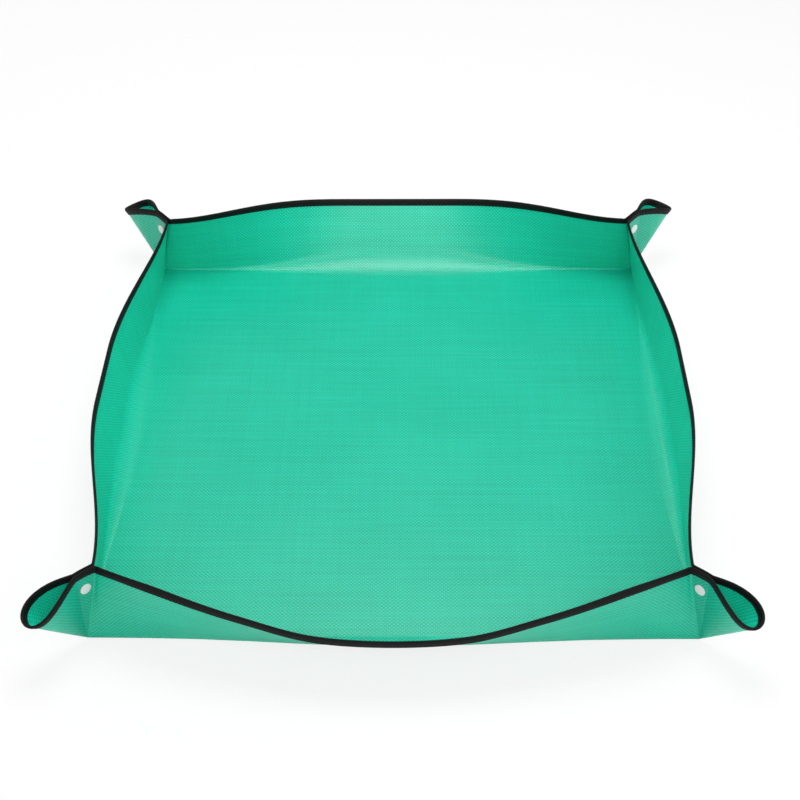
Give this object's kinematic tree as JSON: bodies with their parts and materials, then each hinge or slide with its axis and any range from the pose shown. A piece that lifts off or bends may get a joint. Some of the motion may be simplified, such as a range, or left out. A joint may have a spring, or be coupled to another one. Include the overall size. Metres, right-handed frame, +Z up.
{
  "type": "potting soil tray",
  "caption": "Square fold-up potting tray of woven sheet with a bound edge; pinched corners held by snap fasteners make the walls.",
  "frame": {"origin": "centre of the base panel on its underside, the face that lies on the floor", "axes": "+Z up, +X to the right of the front wall, -Y out through the front wall"},
  "size_m": [0.8876, 0.9124, 0.1174],
  "materials": {
    "sheet": "laminated woven polyethylene, soft sheen",
    "binding": "black folded tape",
    "snap": "white moulded plastic"
  },
  "bodies": {
    "base": {"base_panel": "sheet", "base_lips": "sheet"},
    "front_wall": {"front_wall": "sheet", "front_binding": "binding"},
    "front_wall_left_end": {"front_wall_left_end": "sheet", "front_binding_left_end": "binding"},
    "front_left_ear_front_half": {"front_left_ear_front_half": "sheet", "front_left_ear_binding_front_half": "binding", "front_left_stud": "snap", "front_left_stud_cap": "snap"},
    "front_wall_right_end": {"front_wall_right_end": "sheet", "front_binding_right_end": "binding"},
    "front_right_ear_front_half": {"front_right_ear_front_half": "sheet", "front_right_ear_binding_front_half": "binding", "front_right_socket": "snap", "front_right_socket_cap": "snap"},
    "right_wall": {"right_wall": "sheet", "right_binding": "binding"},
    "right_wall_front_end": {"right_wall_front_end": "sheet", "right_binding_front_end": "binding"},
    "front_right_ear_right_half": {"front_right_ear_right_half": "sheet", "front_right_ear_binding_right_half": "binding", "front_right_stud": "snap", "front_right_stud_cap": "snap"},
    "right_wall_back_end": {"right_wall_back_end": "sheet", "right_binding_back_end": "binding"},
    "back_right_ear_right_half": {"back_right_ear_right_half": "sheet", "back_right_ear_binding_right_half": "binding", "back_right_socket": "snap", "back_right_socket_cap": "snap"},
    "back_wall": {"back_wall": "sheet", "back_binding": "binding"},
    "back_wall_right_end": {"back_wall_right_end": "sheet", "back_binding_right_end": "binding"},
    "back_right_ear_back_half": {"back_right_ear_back_half": "sheet", "back_right_ear_binding_back_half": "binding", "back_right_stud": "snap", "back_right_stud_cap": "snap"},
    "back_wall_left_end": {"back_wall_left_end": "sheet", "back_binding_left_end": "binding"},
    "back_left_ear_back_half": {"back_left_ear_back_half": "sheet", "back_left_ear_binding_back_half": "binding", "back_left_socket": "snap", "back_left_socket_cap": "snap"},
    "left_wall": {"left_wall": "sheet", "left_binding": "binding"},
    "left_wall_back_end": {"left_wall_back_end": "sheet", "left_binding_back_end": "binding"},
    "back_left_ear_left_half": {"back_left_ear_left_half": "sheet", "back_left_ear_binding_left_half": "binding", "back_left_stud": "snap", "back_left_stud_cap": "snap"},
    "left_wall_front_end": {"left_wall_front_end": "sheet", "left_binding_front_end": "binding"},
    "front_left_ear_left_half": {"front_left_ear_left_half": "sheet", "front_left_ear_binding_left_half": "binding", "front_left_socket": "snap", "front_left_socket_cap": "snap"}
  },
  "joints": [
    {"name": "front_wall_fold", "type": "hinge", "parent": "base", "child": "front_wall", "pos_m": [0, -0.39522, 0.00349], "axis": [1, 0, 0], "range_deg": [0, 51]},
    {"name": "front_wall_left_end_fold", "type": "hinge", "parent": "front_wall", "child": "front_wall_left_end", "pos_m": [-0.385, -0.37737, -0.01396], "axis": [1, 0, 0], "range_deg": [0, 34]},
    {"name": "front_left_ear_front_half_turn", "type": "hinge", "parent": "front_wall_left_end", "child": "front_left_ear_front_half", "pos_m": [-0.385, -0.385, 0], "axis": [-0.1711, -0.1711, -0.9703], "range_deg": [0, 47]},
    {"name": "front_wall_right_end_fold", "type": "hinge", "parent": "front_wall", "child": "front_wall_right_end", "pos_m": [0.385, -0.37737, -0.01396], "axis": [1, 0, 0], "range_deg": [0, 34]},
    {"name": "front_right_ear_front_half_turn", "type": "hinge", "parent": "front_wall_right_end", "child": "front_right_ear_front_half", "pos_m": [0.385, -0.385, 0], "axis": [-0.1711, 0.1711, 0.9703], "range_deg": [0, 47]},
    {"name": "right_wall_fold", "type": "hinge", "parent": "base", "child": "right_wall", "pos_m": [0.3846, 0, 0.00736], "axis": [0, 1, 0], "range_deg": [0, 79]},
    {"name": "right_wall_front_end_fold", "type": "hinge", "parent": "right_wall", "child": "right_wall_front_end", "pos_m": [0.44898, -0.385, -0.06268], "axis": [0, 1, 0], "range_deg": [0, 6]},
    {"name": "front_right_ear_right_half_turn", "type": "hinge", "parent": "right_wall_front_end", "child": "front_right_ear_right_half", "pos_m": [0.385, -0.385, 0], "axis": [0.1711, -0.1711, -0.9703], "range_deg": [0, 47]},
    {"name": "right_wall_back_end_fold", "type": "hinge", "parent": "right_wall", "child": "right_wall_back_end", "pos_m": [0.44898, 0.385, -0.06268], "axis": [0, 1, 0], "range_deg": [0, 6]},
    {"name": "back_right_ear_right_half_turn", "type": "hinge", "parent": "right_wall_back_end", "child": "back_right_ear_right_half", "pos_m": [0.385, 0.385, 0], "axis": [-0.1711, -0.1711, 0.9703], "range_deg": [0, 47]},
    {"name": "back_wall_fold", "type": "hinge", "parent": "base", "child": "back_wall", "pos_m": [0, 0.38512, 0.00746], "axis": [-1, 0, 0], "range_deg": [0, 52]},
    {"name": "back_wall_right_end_fold", "type": "hinge", "parent": "back_wall", "child": "back_wall_right_end", "pos_m": [0.385, 0.39264, -0.00861], "axis": [-1, 0, 0], "range_deg": [0, 33]},
    {"name": "back_right_ear_back_half_turn", "type": "hinge", "parent": "back_wall_right_end", "child": "back_right_ear_back_half", "pos_m": [0.385, 0.385, 0], "axis": [0.1711, 0.1711, -0.9703], "range_deg": [0, 47]},
    {"name": "back_wall_left_end_fold", "type": "hinge", "parent": "back_wall", "child": "back_wall_left_end", "pos_m": [-0.385, 0.39264, -0.00861], "axis": [-1, 0, 0], "range_deg": [0, 33]},
    {"name": "back_left_ear_back_half_turn", "type": "hinge", "parent": "back_wall_left_end", "child": "back_left_ear_back_half", "pos_m": [-0.385, 0.385, 0], "axis": [0.1711, -0.1711, 0.9703], "range_deg": [0, 47]},
    {"name": "left_wall_fold", "type": "hinge", "parent": "base", "child": "left_wall", "pos_m": [-0.38535, 0, 0.00685], "axis": [0, -1, 0], "range_deg": [0, 76]},
    {"name": "left_wall_back_end_fold", "type": "hinge", "parent": "left_wall", "child": "left_wall_back_end", "pos_m": [-0.41928, 0.385, -0.0415], "axis": [0, -1, 0], "range_deg": [0, 9]},
    {"name": "back_left_ear_left_half_turn", "type": "hinge", "parent": "left_wall_back_end", "child": "back_left_ear_left_half", "pos_m": [-0.385, 0.385, 0], "axis": [-0.1711, 0.1711, -0.9703], "range_deg": [0, 47]},
    {"name": "left_wall_front_end_fold", "type": "hinge", "parent": "left_wall", "child": "left_wall_front_end", "pos_m": [-0.41928, -0.385, -0.0415], "axis": [0, -1, 0], "range_deg": [0, 9]},
    {"name": "front_left_ear_left_half_turn", "type": "hinge", "parent": "left_wall_front_end", "child": "front_left_ear_left_half", "pos_m": [-0.385, -0.385, 0], "axis": [0.1711, 0.1711, 0.9703], "range_deg": [0, 47]}
  ],
  "couplings": [
    {"joint": "front_wall_left_end_fold", "follows": "front_wall_fold", "ratio": 0.66667},
    {"joint": "front_left_ear_front_half_turn", "follows": "front_wall_fold", "ratio": 0.92157},
    {"joint": "front_wall_right_end_fold", "follows": "front_wall_fold", "ratio": 0.66667},
    {"joint": "front_right_ear_front_half_turn", "follows": "front_wall_fold", "ratio": 0.92157},
    {"joint": "right_wall_fold", "follows": "front_wall_fold", "ratio": 1.549},
    {"joint": "right_wall_front_end_fold", "follows": "front_wall_fold", "ratio": 0.11765},
    {"joint": "front_right_ear_right_half_turn", "follows": "front_wall_fold", "ratio": 0.92157},
    {"joint": "right_wall_back_end_fold", "follows": "front_wall_fold", "ratio": 0.11765},
    {"joint": "back_right_ear_right_half_turn", "follows": "front_wall_fold", "ratio": 0.92157},
    {"joint": "back_wall_fold", "follows": "front_wall_fold", "ratio": 1.0196},
    {"joint": "back_wall_right_end_fold", "follows": "front_wall_fold", "ratio": 0.64706},
    {"joint": "back_right_ear_back_half_turn", "follows": "front_wall_fold", "ratio": 0.92157},
    {"joint": "back_wall_left_end_fold", "follows": "front_wall_fold", "ratio": 0.64706},
    {"joint": "back_left_ear_back_half_turn", "follows": "front_wall_fold", "ratio": 0.92157},
    {"joint": "left_wall_fold", "follows": "front_wall_fold", "ratio": 1.4902},
    {"joint": "left_wall_back_end_fold", "follows": "front_wall_fold", "ratio": 0.17647},
    {"joint": "back_left_ear_left_half_turn", "follows": "front_wall_fold", "ratio": 0.92157},
    {"joint": "left_wall_front_end_fold", "follows": "front_wall_fold", "ratio": 0.17647},
    {"joint": "front_left_ear_left_half_turn", "follows": "front_wall_fold", "ratio": 0.92157}
  ]
}
